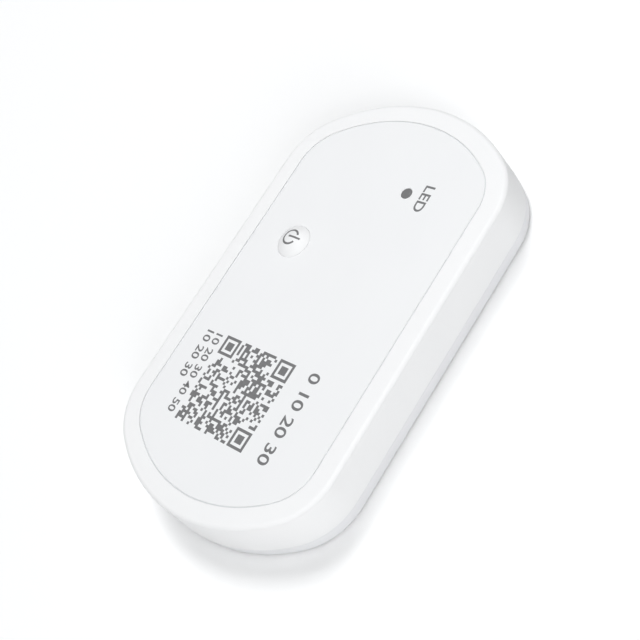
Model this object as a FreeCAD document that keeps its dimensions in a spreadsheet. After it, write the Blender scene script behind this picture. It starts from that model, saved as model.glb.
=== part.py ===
import FreeCAD, Part
import math
import os
import re
import Sketcher

# A slim battery temperature logger that lies on its back with its face up. Its power button
# stands a little proud of the face.
# +X runs across the face, +Y along it towards the status light, +Z out of the face.
# The origin is the middle of the flat rear face. All sizes are in millimetres.

SIZES = {
    # Case outline at its widest girth, where the front shell meets the rear cover
    "case_width": 45.0,
    "case_length": 76.9,
    "case_height": 9.4,
    "corner_radius": 12.2,
    "end_radius": 28.9,
    "parting_height": 2.4,
    "wall_flare": 0.44,
    "rear_taper": 0.2,
    "face_round": 0.6,
    "rear_round": 0.4,
    # Walls of the two case halves and the joint between them
    "shell_wall": 1.5,
    "shell_top": 1.2,
    "cover_floor": 1.2,
    "tongue_height": 1.0,
    "tongue_wall": 0.9,
    "tongue_gap": 0.08,
    "gasket_width": 0.8,
    "gasket_height": 0.6,
    "gasket_inset": 0.6,
    "gasket_gap": 0.05,
    # Printed film in its recess
    "label_margin": 3.5,
    "label_thickness": 0.22,
    "label_gap": 0.12,
    "recess_depth": 0.25,
    # Power button, its guide collar and its membrane
    "button_side": 12.88,
    "button_end": 29.97,
    "button_radius": 2.96,
    "button_gap": 0.08,
    "button_travel": 0.25,
    "crown_height": 0.85,
    "flange_radius": 3.9,
    "flange_thickness": 0.7,
    "flange_gap": 0.05,
    "stem_radius": 1.1,
    "collar_gap": 0.15,
    "collar_wall": 0.8,
    "stem_spare": 0.4,
    "membrane_thickness": 0.35,
    "membrane_web": 0.2,
    "membrane_rim": 0.9,
    # Light pipe over the status light
    "light_side": 17.3,
    "light_end": 16.35,
    "pipe_radius": 0.99,
    "pipe_fit": 0.03,
    "pipe_sink": 0.03,
    "pipe_flange_radius": 1.7,
    "pipe_flange_thickness": 0.6,
    "pipe_air_gap": 0.3,
    # Circuit board
    "board_drop": 3.5,
    "board_thickness": 0.8,
    "board_gap": 0.3,
    "spigot_gap": 0.15,
    # Case screws, their bosses and recesses
    "screw_shift_x": 4.5,
    "screw_shift_y": 3.7,
    "screw_head_radius": 1.75,
    "screw_head_height": 1.1,
    "screw_head_round": 0.35,
    "screw_sink": 0.2,
    "screw_shank_radius": 1.0,
    "screw_length": 5.2,
    "screw_head_gap": 0.2,
    "screw_hole_gap": 0.15,
    "thread_fit": 0.03,
    "thread_end_gap": 0.3,
    "slot_width": 0.45,
    "slot_length": 2.0,
    "slot_depth": 0.5,
    "spigot_radius": 2.0,
    "shoulder_radius": 2.9,
    "cover_boss_radius": 2.9,
    "cover_boss_gap": 0.6,
    # Board screws
    "board_screw_side": 5.9,
    "board_screw_end": 18.45,
    "board_screw_head_radius": 1.4,
    "board_screw_head_height": 0.9,
    "board_screw_radius": 0.8,
    "board_screw_length": 3.0,
    "board_boss_radius": 1.9,
    # Coin cell, its rib, pad and contacts
    "cell_end": 8.7,
    "cell_radius": 12.25,
    "cell_height": 5.0,
    "cell_step": 0.3,
    "can_wall": 0.3,
    "can_lip": 1.0,
    "grommet_wall": 1.25,
    "cap_round": 0.5,
    "cell_gap": 0.5,
    "rib_gap": 0.3,
    "rib_wall": 0.8,
    "rib_top_gap": 0.4,
    "pad_radius": 9.0,
    "pad_thickness": 0.45,
    "contact_sheet": 0.25,
    "strap_width": 5.0,
    "strap_reach": 1.6,
    "foot_length": 2.4,
    "side_contact_width": 3.6,
    "side_contact_drop": 0.7,
    "side_contact_fit": 0.03,
    # Push switch under the button
    "switch_side": 4.5,
    "switch_base_height": 1.1,
    "switch_well_radius": 1.75,
    "switch_well_floor": 0.3,
    "switch_plate": 0.15,
    "switch_lead_width": 0.7,
    "switch_lead_reach": 0.8,
    "switch_lead_thickness": 0.2,
    "switch_lead_spread": 1.4,
    "plunger_radius": 0.75,
    "plunger_collar_radius": 1.3,
    "plunger_collar_height": 0.3,
    "plunger_gap": 0.1,
    "dome_radius": 1.55,
    "dome_rise": 0.4,
    "dome_sheet": 0.08,
    # Radio module
    "radio_x": 8.0,
    "radio_end": 27.85,
    "radio_width": 12.0,
    "radio_length": 14.5,
    "radio_board_thickness": 0.6,
    "shield_margin": 0.8,
    "shield_height": 1.6,
    "shield_wall": 0.2,
    "shield_round": 0.4,
    "processor_side": 6.0,
    "processor_height": 0.9,
    # Other parts on the board
    "memory_x": -9.0,
    "memory_end": 17.45,
    "memory_width": 3.9,
    "memory_length": 4.9,
    "memory_height": 1.4,
    "memory_bevel": 0.2,
    "lead_pitch": 1.27,
    "lead_width": 0.42,
    "lead_reach": 1.0,
    "lead_thickness": 0.22,
    "crystal_x": -1.4,
    "crystal_end": 27.95,
    "crystal_width": 2.5,
    "crystal_length": 3.2,
    "crystal_height": 0.7,
    "buffer_x": -3.2,
    "buffer_gap": 4.45,
    "buffer_width": 3.5,
    "buffer_length": 2.8,
    "buffer_height": 1.5,
    "antenna_end": 5.45,
    "antenna_width": 7.0,
    "antenna_length": 2.0,
    "antenna_height": 1.2,
    "led_width": 1.6,
    "led_length": 0.8,
    "led_height": 0.6,
    "chip_width": 1.6,
    "chip_length": 0.8,
    "chip_pitch": 1.9,
    "chip_row_gap": 1.8,
    "capacitor_height": 0.8,
    "resistor_height": 0.45,
    # Temperature sensor below the board and the soft pad that joins it to the cover
    "sensor_end": 8.95,
    "sensor_side": 3.0,
    "sensor_height": 0.9,
    "sensor_pad_side": 4.0,
}

CORNER_SIGNS = [(1, 1), (-1, 1), (-1, -1), (1, -1)]
BOARD_SCREW_SIGNS = [(1, 1), (-1, 1)]
CHIP_ROW_COUNT = 5
MEMORY_LEADS_PER_SIDE = 4

# Heights that follow from the sizes. Bosses and ribs are rooted halfway into the wall that
# they grow from.
RECESS_FLOOR = "(case_height - recess_depth)"
FILM_TOP = f"({RECESS_FLOOR} + label_thickness)"
CEILING = f"({RECESS_FLOOR} - shell_top)"
SHELL_ROOT = f"({CEILING} + shell_top / 2)"
COVER_ROOT = "(cover_floor / 2)"
BOARD_TOP = f"({CEILING} - board_drop)"
BOARD_BOTTOM = f"({BOARD_TOP} - board_thickness)"
COVER_BOSS_TOP = f"({BOARD_BOTTOM} - cover_boss_gap)"
SCREW_SEAT = "(screw_sink + screw_head_height)"
FLANGE_TOP = f"({CEILING} - flange_gap)"
FLANGE_BOTTOM = f"({FLANGE_TOP} - flange_thickness)"
COLLAR_BOTTOM = f"({FLANGE_BOTTOM} - button_travel - stem_spare)"
MEMBRANE_BOTTOM = f"({COLLAR_BOTTOM} - membrane_thickness)"
CELL_BOTTOM = "(cover_floor + pad_thickness)"
CELL_TOP = f"({CELL_BOTTOM} + cell_height)"
SWITCH_BASE_TOP = f"({BOARD_TOP} + switch_base_height)"

# Insets from the widest outline
CAVITY_INSET = "(wall_flare + shell_wall)"
TONGUE_INSET = f"({CAVITY_INSET} + tongue_gap)"
TRAY_INSET = f"({TONGUE_INSET} + tongue_wall)"

# Places measured in from the widest outline. The case screws stand beyond the centres of the
# outline's corner arcs, which are CORNER_X and CORNER_Y from the origin.
BUTTON_X = "(button_side - case_width / 2)"
BUTTON_Y = "(case_length / 2 - button_end)"
LIGHT_X = "(case_width / 2 - light_side)"
LIGHT_Y = "(case_length / 2 - light_end)"
CORNER_X = "(case_width / 2 - corner_radius)"
CORNER_RISE = f"sqrt((end_radius - corner_radius) ^ 2 - {CORNER_X} ^ 2)"
CORNER_Y = f"(case_length / 2 - end_radius + {CORNER_RISE})"
SCREW_X = f"({CORNER_X} + screw_shift_x)"
SCREW_Y = f"({CORNER_Y} + screw_shift_y)"
BOARD_SCREW_X = "(case_width / 2 - board_screw_side)"
BOARD_SCREW_Y = "(case_length / 2 - board_screw_end)"
CELL_Y = "(cell_radius + cell_end - case_length / 2)"
RADIO_Y = "(case_length / 2 - radio_end)"
MEMORY_Y = "(case_length / 2 - memory_end)"
BESIDE_RADIO = "(radio_x + radio_width / 2 + chip_row_gap)"
BESIDE_MEMORY = "(memory_x + memory_width / 2 + lead_reach + chip_row_gap)"

doc = FreeCAD.newDocument("temperature_logger")
sheet = doc.addObject("Spreadsheet::Sheet", "dim")
for row, (name, value) in enumerate(SIZES.items(), start=1):
    sheet.set(f"A{row}", name)
    sheet.set(f"B{row}", str(value))
    sheet.setAlias(f"B{row}", name)
doc.recompute()

subparts = []


def full(text):
    """An expression with each size's name pointed at its cell."""
    return re.sub(r"[a-z]+(?:_[a-z]+)+", r"dim.\g<0>", text)


def number(text):
    """The value of an expression, for the first guess of a sketch."""
    return float(sheet.evalExpression(full(text)))


def place(thing, x, y, z):
    """Bind a thing's place to the sheet."""
    thing.setExpression("Placement.Base.x", full(x))
    thing.setExpression("Placement.Base.y", full(y))
    thing.setExpression("Placement.Base.z", full(z))


def new_body(name, x="0", y="0"):
    """A sub-part made of sketches and features, standing at x, y."""
    body = doc.addObject("PartDesign::Body", name)
    body.Label = name
    place(body, x, y, "0")
    subparts.append(body)
    return body


def attach(thing, body, plane, level):
    """Fix a sketch or feature to one of the body's own planes, raised by level."""
    support = [feature for feature in body.Origin.OriginFeatures if feature.Role == plane][0]
    thing.AttachmentSupport = [(support, "")]
    thing.MapMode = "FlatFace"
    thing.setExpression("AttachmentOffset.Base.z", full(level))


def new_sketch(body, name, level="0", plane="XY_Plane"):
    sketch = body.newObject("Sketcher::SketchObject", name)
    attach(sketch, body, plane, level)
    return sketch


def datum(sketch, kind, *where, size):
    """A dimension in a sketch, bound to the sheet."""
    index = sketch.addConstraint(Sketcher.Constraint(kind, *where, number(size)))
    sketch.setExpression(f"Constraints[{index}]", full(size))


def pin_point(sketch, edge, point, x, y):
    """Hold a point at x, y from the sketch's origin."""
    if x == "0":
        sketch.addConstraint(Sketcher.Constraint("PointOnObject", edge, point, -2))
    else:
        datum(sketch, "DistanceX", -1, 1, edge, point, size=x)
    if y == "0":
        sketch.addConstraint(Sketcher.Constraint("PointOnObject", edge, point, -1))
    else:
        datum(sketch, "DistanceY", -1, 1, edge, point, size=y)


def add_circle(sketch, x, y, radius):
    centre = FreeCAD.Vector(number(x), number(y), 0)
    circle = sketch.addGeometry(Part.Circle(centre, FreeCAD.Vector(0, 0, 1), number(radius)))
    datum(sketch, "Radius", circle, size=radius)
    pin_point(sketch, circle, 3, x, y)


def add_polygon(sketch, corners):
    """A closed chain of straight lines through corners given as pairs of sizes."""
    points = [FreeCAD.Vector(number(x), number(y), 0) for x, y in corners]
    lines = []
    for start, end in zip(points, points[1:] + points[:1]):
        lines.append(sketch.addGeometry(Part.LineSegment(start, end)))
    for line, following in zip(lines, lines[1:] + lines[:1]):
        sketch.addConstraint(Sketcher.Constraint("Coincident", line, 2, following, 1))
    for line, (x, y) in zip(lines, corners):
        pin_point(sketch, line, 1, x, y)


def add_outline(sketch, inset):
    """The case outline drawn inset from its widest line: straight sides, rounded corners and
    long end arcs, all tangent."""
    upright = FreeCAD.Vector(0, 0, 1)
    half = number(f"case_width / 2 - {inset}")
    corner = number(f"corner_radius - {inset}")
    end = number(f"end_radius - {inset}")
    end_y = number("case_length / 2 - end_radius")
    corner_x = number(CORNER_X)
    corner_y = number(CORNER_Y)
    turn = math.atan2(corner_y - end_y, corner_x)

    def arc(x, y, radius, start, stop):
        circle = Part.Circle(FreeCAD.Vector(x, y, 0), upright, radius)
        return sketch.addGeometry(Part.ArcOfCircle(circle, start, stop))

    def side(x, start_y, stop_y):
        start = FreeCAD.Vector(x, start_y, 0)
        return sketch.addGeometry(Part.LineSegment(start, FreeCAD.Vector(x, stop_y, 0)))

    right = side(half, -corner_y, corner_y)
    top_right = arc(corner_x, corner_y, corner, 0, turn)
    top = arc(0, end_y, end, turn, math.pi - turn)
    top_left = arc(-corner_x, corner_y, corner, math.pi - turn, math.pi)
    left = side(-half, corner_y, -corner_y)
    bottom_left = arc(-corner_x, -corner_y, corner, math.pi, math.pi + turn)
    bottom = arc(0, -end_y, end, math.pi + turn, 2 * math.pi - turn)
    bottom_right = arc(corner_x, -corner_y, corner, 2 * math.pi - turn, 2 * math.pi)
    chain = [right, top_right, top, top_left, left, bottom_left, bottom, bottom_right]
    for edge, following in zip(chain, chain[1:] + chain[:1]):
        sketch.addConstraint(Sketcher.Constraint("Tangent", edge, 2, following, 1))
    for edge in (right, left):
        sketch.addConstraint(Sketcher.Constraint("Vertical", edge))
    for edge in (top, bottom):
        sketch.addConstraint(Sketcher.Constraint("PointOnObject", edge, 3, -2))
    for edge in (top_left, bottom_left, bottom_right):
        sketch.addConstraint(Sketcher.Constraint("Equal", top_right, edge))
    sketch.addConstraint(Sketcher.Constraint("Equal", top, bottom))
    datum(sketch, "Radius", top_right, size=f"corner_radius - {inset}")
    datum(sketch, "Radius", top, size=f"end_radius - {inset}")
    datum(sketch, "DistanceX", -1, 1, right, 1, size=f"case_width / 2 - {inset}")
    datum(sketch, "DistanceX", left, 1, -1, 1, size=f"case_width / 2 - {inset}")
    datum(sketch, "DistanceY", -1, 1, top, 3, size="case_length / 2 - end_radius")
    datum(sketch, "DistanceY", bottom, 3, -1, 1, size="case_length / 2 - end_radius")


def pad(body, sketch, length, reverse=False, middle=False):
    feature = body.newObject("PartDesign::Pad", f"{sketch.Name}_pad")
    feature.Profile = sketch
    feature.setExpression("Length", full(length))
    feature.Reversed = reverse
    feature.Midplane = middle
    sketch.Visibility = False
    return feature


def pocket(body, sketch, depth, upward=False):
    """A cut from the sketch, down into the body or up into it. Each cut has to take material."""
    doc.recompute()
    before = body.Shape.Volume
    feature = body.newObject("PartDesign::Pocket", f"{sketch.Name}_pocket")
    feature.Profile = sketch
    feature.setExpression("Length", full(depth))
    feature.Reversed = upward
    doc.recompute()
    if body.Shape.Volume >= before:
        raise RuntimeError(f"{feature.Name} cuts nothing")
    return feature


def revolve(body, sketch):
    feature = body.newObject("PartDesign::Revolution", f"{sketch.Name}_turn")
    feature.Profile = sketch
    feature.ReferenceAxis = (sketch, ["V_Axis"])
    feature.Angle = 360
    return feature


def round_level_edges(body, feature, level, radius):
    """Round the edges of a feature that lie at one height."""
    doc.recompute()
    height = number(level)
    names = []
    for index, edge in enumerate(feature.Shape.Edges, start=1):
        box = edge.BoundBox
        if abs(box.ZMin - height) < 1e-4 and abs(box.ZMax - height) < 1e-4:
            names.append(f"Edge{index}")
    rounding = body.newObject("PartDesign::Fillet", f"{feature.Name}_round")
    rounding.Base = (feature, names)
    rounding.setExpression("Radius", full(radius))
    return rounding


def turned(name, corners, x="0", y="0"):
    """A round sub-part turned from a half section of radius and height pairs."""
    body = new_body(name, x, y)
    sketch = new_sketch(body, f"{name}_section", plane="XZ_Plane")
    add_polygon(sketch, corners)
    revolve(body, sketch)
    return body


def box(name, x, y, z, width, length, height):
    """A block centred on x, y with its lower face at z."""
    block = doc.addObject("Part::Box", name)
    block.setExpression("Width", full(length))
    block.setExpression("Length", full(width))
    block.setExpression("Height", full(height))
    place(block, f"({x}) - ({width}) / 2", f"({y}) - ({length}) / 2", z)
    return block


def cylinder(name, x, y, z, radius, height):
    rod = doc.addObject("Part::Cylinder", name)
    rod.setExpression("Radius", full(radius))
    rod.setExpression("Height", full(height))
    place(rod, x, y, z)
    return rod


def fused(name, pieces):
    joined = doc.addObject("Part::MultiFuse", name)
    joined.Shapes = pieces
    return joined


def cut(name, base, tool):
    remaining = doc.addObject("Part::Cut", name)
    remaining.Base = base
    remaining.Tool = tool
    return remaining


def softened(name, base, size, rounded, chosen):
    """Round or bevel the edges of base that chosen picks."""
    doc.recompute()
    kind = "Part::Fillet" if rounded else "Part::Chamfer"
    feature = doc.addObject(kind, name)
    feature.Base = base
    amount = number(size)
    edges = enumerate(base.Shape.Edges, start=1)
    feature.Edges = [(index, amount, amount) for index, edge in edges if chosen(edge)]
    return feature


def lies_at(text):
    """A test for edges that lie level at a height."""
    height = number(text)
    return lambda edge: edge.BoundBox.ZMin > height - 1e-4 and edge.BoundBox.ZMax < height + 1e-4


def finished(name, thing):
    """Give a sub-part its name."""
    thing.Label = name
    subparts.append(thing)
    return thing


def grouped(name, pieces):
    """Separate equal solids that share one name."""
    group = doc.addObject("Part::Compound", name)
    group.Links = pieces
    return finished(name, group)


def signed(sign, text):
    return text if sign > 0 else f"-({text})"


def case_screw_places():
    return [(signed(i, SCREW_X), signed(j, SCREW_Y)) for i, j in CORNER_SIGNS]


def board_screw_places():
    return [(signed(i, BOARD_SCREW_X), signed(j, BOARD_SCREW_Y)) for i, j in BOARD_SCREW_SIGNS]


def side_wall(body, sketch, height, lean, reverse):
    """A pad of the case outline whose wall leans inward by lean over its height."""
    feature = pad(body, sketch, height, reverse)
    feature.setExpression("TaperAngle", full(f"-atan(({lean}) / ({height}))"))
    return feature


def make_front_shell():
    """Moulded front half: face, flared side wall, film recess, collar and screw bosses."""
    body = new_body("front_shell")
    outline = new_sketch(body, "shell_outline", "parting_height")
    add_outline(outline, "0")
    wall = side_wall(body, outline, "case_height - parting_height", "wall_flare", False)
    round_level_edges(body, wall, "case_height", "face_round")

    cavity = new_sketch(body, "shell_cavity", "parting_height")
    add_outline(cavity, CAVITY_INSET)
    pocket(body, cavity, f"{CEILING} - parting_height", upward=True)

    recess = new_sketch(body, "film_recess", "case_height")
    add_outline(recess, "(wall_flare + label_margin - label_gap)")
    pocket(body, recess, "recess_depth")

    collar = new_sketch(body, "button_collar", COLLAR_BOTTOM)
    add_circle(collar, BUTTON_X, BUTTON_Y, "flange_radius + collar_gap")
    add_circle(collar, BUTTON_X, BUTTON_Y, "flange_radius + collar_gap + collar_wall")
    pad(body, collar, f"{SHELL_ROOT} - {COLLAR_BOTTOM}")

    shoulders = new_sketch(body, "shell_shoulders", BOARD_TOP)
    for x, y in case_screw_places():
        add_circle(shoulders, x, y, "shoulder_radius")
    for x, y in board_screw_places():
        add_circle(shoulders, x, y, "board_boss_radius")
    pad(body, shoulders, f"{SHELL_ROOT} - {BOARD_TOP}")

    spigots = new_sketch(body, "shell_spigots", COVER_BOSS_TOP)
    for x, y in case_screw_places():
        add_circle(spigots, x, y, "spigot_radius")
    pad(body, spigots, f"{CEILING} - {COVER_BOSS_TOP}")

    pilots = new_sketch(body, "case_screw_pilots", COVER_BOSS_TOP)
    for x, y in case_screw_places():
        add_circle(pilots, x, y, "screw_shank_radius + thread_fit")
    pocket(body, pilots, f"{SCREW_SEAT} + screw_length + thread_end_gap - {COVER_BOSS_TOP}", upward=True)

    board_pilots = new_sketch(body, "board_screw_pilots", BOARD_TOP)
    for x, y in board_screw_places():
        add_circle(board_pilots, x, y, "board_screw_radius + thread_fit")
    pocket(body, board_pilots, "board_screw_length - board_thickness + thread_end_gap", upward=True)

    openings = new_sketch(body, "face_openings", RECESS_FLOOR)
    add_circle(openings, BUTTON_X, BUTTON_Y, "button_radius + button_gap")
    add_circle(openings, LIGHT_X, LIGHT_Y, "pipe_radius + pipe_fit")
    pocket(body, openings, "shell_top")


def make_rear_cover():
    """Moulded rear half: a shallow tray with a tongue, a gasket groove, screw bosses and the
    round rib that keeps the coin cell in place."""
    body = new_body("rear_cover")
    outline = new_sketch(body, "cover_outline", "parting_height")
    add_outline(outline, "0")
    wall = side_wall(body, outline, "parting_height", "rear_taper", True)
    round_level_edges(body, wall, "0", "rear_round")

    tray = new_sketch(body, "cover_tray", "parting_height")
    add_outline(tray, TRAY_INSET)
    pocket(body, tray, "parting_height - cover_floor")

    tongue = new_sketch(body, "cover_tongue", "cover_floor")
    add_outline(tongue, TONGUE_INSET)
    add_outline(tongue, TRAY_INSET)
    pad(body, tongue, "parting_height + tongue_height - cover_floor")

    groove = new_sketch(body, "gasket_groove", "parting_height")
    add_outline(groove, "gasket_inset")
    add_outline(groove, "(gasket_inset + gasket_width + 2 * gasket_gap)")
    pocket(body, groove, "gasket_height")

    rib = new_sketch(body, "cell_rib", COVER_ROOT)
    add_circle(rib, "0", CELL_Y, "cell_radius + rib_gap")
    add_circle(rib, "0", CELL_Y, "cell_radius + rib_gap + rib_wall")
    pad(body, rib, f"{BOARD_BOTTOM} - rib_top_gap - {COVER_ROOT}")

    bosses = new_sketch(body, "cover_bosses", COVER_ROOT)
    for x, y in case_screw_places():
        add_circle(bosses, x, y, "cover_boss_radius")
    pad(body, bosses, f"{COVER_BOSS_TOP} - {COVER_ROOT}")

    holes = new_sketch(body, "cover_screw_holes", COVER_BOSS_TOP)
    for x, y in case_screw_places():
        add_circle(holes, x, y, "screw_shank_radius + screw_hole_gap")
    pocket(body, holes, COVER_BOSS_TOP)

    sinks = new_sketch(body, "cover_screw_sinks", "0")
    for x, y in case_screw_places():
        add_circle(sinks, x, y, "screw_head_radius + screw_head_gap")
    pocket(body, sinks, SCREW_SEAT, upward=True)


def make_case_gasket():
    """Silicone ring in the groove, closed by the front shell's lower edge."""
    body = new_body("case_gasket")
    ring = new_sketch(body, "gasket_ring", "parting_height - gasket_height")
    add_outline(ring, "(gasket_inset + gasket_gap)")
    add_outline(ring, "(gasket_inset + gasket_gap + gasket_width)")
    pad(body, ring, "gasket_height")


def make_front_label():
    """Printed film glued into the face recess, cut out for the button and the light."""
    body = new_body("front_label")
    film = new_sketch(body, "film_outline", RECESS_FLOOR)
    add_outline(film, "(wall_flare + label_margin)")
    add_circle(film, BUTTON_X, BUTTON_Y, "button_radius + button_gap")
    add_circle(film, LIGHT_X, LIGHT_Y, "pipe_radius + pipe_fit")
    pad(body, film, "label_thickness")


def make_button_cap():
    """Power button: a key with a domed crown, a flange that keeps it in the shell and a short
    stem."""
    body = turned(
        "button_cap",
        [
            ("0", COLLAR_BOTTOM),
            ("stem_radius", COLLAR_BOTTOM),
            ("stem_radius", FLANGE_BOTTOM),
            ("flange_radius", FLANGE_BOTTOM),
            ("flange_radius", FLANGE_TOP),
            ("button_radius", FLANGE_TOP),
            ("button_radius", FILM_TOP),
            ("0", FILM_TOP),
        ],
        BUTTON_X,
        BUTTON_Y,
    )
    doc.recompute()
    before = body.Shape.Volume
    crown = body.newObject("PartDesign::AdditiveSphere", "button_crown")
    sphere = "((button_radius ^ 2 + crown_height ^ 2) / (2 * crown_height))"
    crown.setExpression("Radius", full(sphere))
    crown.setExpression("Angle1", full(f"acos(button_radius / {sphere})"))
    attach(crown, body, "XY_Plane", f"{FILM_TOP} + crown_height - {sphere}")
    doc.recompute()
    if body.Shape.Volume <= before:
        raise RuntimeError("the button has no crown")


def make_button_membrane():
    """Silicone diaphragm under the collar, between the button's stem and the switch."""
    rim = "flange_radius + collar_gap + collar_wall"
    turned(
        "button_membrane",
        [
            ("0", MEMBRANE_BOTTOM),
            ("stem_radius", MEMBRANE_BOTTOM),
            ("stem_radius", f"{COLLAR_BOTTOM} - membrane_web"),
            (f"{rim} - membrane_rim", f"{COLLAR_BOTTOM} - membrane_web"),
            (f"{rim} - membrane_rim", MEMBRANE_BOTTOM),
            (rim, MEMBRANE_BOTTOM),
            (rim, COLLAR_BOTTOM),
            ("0", COLLAR_BOTTOM),
        ],
        BUTTON_X,
        BUTTON_Y,
    )


def make_light_pipe():
    """Smoked clear rod that carries the status light to the face."""
    turned(
        "light_pipe",
        [
            ("0", f"{BOARD_TOP} + led_height + pipe_air_gap"),
            ("pipe_radius", f"{BOARD_TOP} + led_height + pipe_air_gap"),
            ("pipe_radius", f"{CEILING} - pipe_flange_thickness"),
            ("pipe_flange_radius", f"{CEILING} - pipe_flange_thickness"),
            ("pipe_flange_radius", CEILING),
            ("pipe_radius", CEILING),
            ("pipe_radius", f"{FILM_TOP} - pipe_sink"),
            ("0", f"{FILM_TOP} - pipe_sink"),
        ],
        LIGHT_X,
        LIGHT_Y,
    )


def make_circuit_board():
    """Glass-fibre board, cut out round the coin cell and drilled for the bosses and screws."""
    body = new_body("circuit_board")
    blank = new_sketch(body, "board_outline", BOARD_BOTTOM)
    add_outline(blank, f"({TRAY_INSET} + board_gap)")
    add_circle(blank, "0", CELL_Y, "cell_radius + cell_gap")
    for x, y in case_screw_places():
        add_circle(blank, x, y, "spigot_radius + spigot_gap")
    for x, y in board_screw_places():
        add_circle(blank, x, y, "board_screw_radius + screw_hole_gap")
    pad(body, blank, "board_thickness")


def screw(name, x, y, seat, head_radius, head_height, shank_radius, length):
    """A pan-head screw whose head lies below its seat: rounded head, cross slots, plain shank."""
    low = f"{seat} - {head_height}"
    head = cylinder(f"{name}_head", x, y, low, head_radius, head_height)
    rounded = softened(f"{name}_pan", head, "screw_head_round", True, lies_at(low))
    shank = cylinder(f"{name}_shank", x, y, seat, shank_radius, length)
    solid = fused(f"{name}_blank", [rounded, shank])
    across = box(f"{name}_slot_across", x, y, low, "slot_length", "slot_width", "slot_depth")
    along = box(f"{name}_slot_along", x, y, low, "slot_width", "slot_length", "slot_depth")
    return cut(name, solid, fused(f"{name}_cross", [across, along]))


def make_case_screws():
    """Four screws from the rear into the front shell's bosses."""
    head = ("screw_head_radius", "screw_head_height")
    shank = ("screw_shank_radius", "screw_length")
    places = enumerate(case_screw_places(), start=1)
    screws = [screw(f"case_screw_{i}", x, y, SCREW_SEAT, *head, *shank) for i, (x, y) in places]
    grouped("case_screws", screws)


def make_board_screws():
    """Two smaller screws that hold the board against its bosses."""
    head = ("board_screw_head_radius", "board_screw_head_height")
    shank = ("board_screw_radius", "board_screw_length")
    places = enumerate(board_screw_places(), start=1)
    screws = [screw(f"board_screw_{i}", x, y, BOARD_BOTTOM, *head, *shank) for i, (x, y) in places]
    grouped("board_screws", screws)


def make_coin_cell():
    """Coin cell: a steel can, a plastic grommet in it and the raised cap, its face upwards."""
    rim = f"{CELL_TOP} - cell_step"
    inner = "cell_radius - can_wall"
    cap_edge = f"{inner} - grommet_wall"
    turned(
        "cell_can",
        [
            ("0", CELL_BOTTOM),
            ("cell_radius", CELL_BOTTOM),
            ("cell_radius", rim),
            ("cell_radius - can_lip", rim),
            ("cell_radius - can_lip", f"{rim} - can_wall"),
            (inner, f"{rim} - can_wall"),
            (inner, f"{CELL_BOTTOM} + can_wall"),
            ("0", f"{CELL_BOTTOM} + can_wall"),
        ],
        "0",
        CELL_Y,
    )
    turned(
        "cell_grommet",
        [
            (cap_edge, f"{CELL_BOTTOM} + can_wall"),
            (inner, f"{CELL_BOTTOM} + can_wall"),
            (inner, f"{rim} - can_wall"),
            (cap_edge, f"{rim} - can_wall"),
        ],
        "0",
        CELL_Y,
    )
    cap = turned(
        "cell_cap",
        [
            ("0", f"{CELL_BOTTOM} + can_wall"),
            (cap_edge, f"{CELL_BOTTOM} + can_wall"),
            (cap_edge, CELL_TOP),
            ("0", CELL_TOP),
        ],
        "0",
        CELL_Y,
    )
    round_level_edges(cap, cap.Tip, CELL_TOP, "cap_round")


def make_cell_pad():
    """Foam disc that presses the cell up against its contact."""
    pad_disc = cylinder("cell_pad_disc", "0", CELL_Y, "cover_floor", "pad_radius", "pad_thickness")
    finished("cell_pad", pad_disc)


def make_cell_strap():
    """Spring strap over the cell, soldered to the board on both sides: the negative contact."""
    body = new_body("cell_strap", "0", CELL_Y)
    leg = "cell_radius + strap_reach"
    inner = "cell_radius + strap_reach - contact_sheet"
    toe = "cell_radius + strap_reach + foot_length"
    foot_top = f"{BOARD_TOP} + contact_sheet"
    bridge_top = f"{CELL_TOP} + contact_sheet"
    section = new_sketch(body, "strap_section", plane="XZ_Plane")
    add_polygon(
        section,
        [
            (f"-({toe})", BOARD_TOP),
            (f"-({inner})", BOARD_TOP),
            (f"-({inner})", CELL_TOP),
            (inner, CELL_TOP),
            (inner, BOARD_TOP),
            (toe, BOARD_TOP),
            (toe, foot_top),
            (leg, foot_top),
            (leg, bridge_top),
            (f"-({leg})", bridge_top),
            (f"-({leg})", foot_top),
            (f"-({toe})", foot_top),
        ],
    )
    pad(body, section, "strap_width", middle=True)


def make_side_contact():
    """Bent leaf on the board that presses the side of the can: the positive contact."""
    body = new_body("cell_side_contact", "0", CELL_Y)
    face = "cell_radius + side_contact_fit"
    section = new_sketch(body, "side_contact_section", plane="YZ_Plane")
    add_polygon(
        section,
        [
            (face, BOARD_TOP),
            (f"{face} + foot_length", BOARD_TOP),
            (f"{face} + foot_length", f"{BOARD_TOP} + contact_sheet"),
            (f"{face} + contact_sheet", f"{BOARD_TOP} + contact_sheet"),
            (f"{face} + contact_sheet", f"{CELL_TOP} - side_contact_drop"),
            (face, f"{CELL_TOP} - side_contact_drop"),
        ],
    )
    pad(body, section, "side_contact_width", middle=True)


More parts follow.
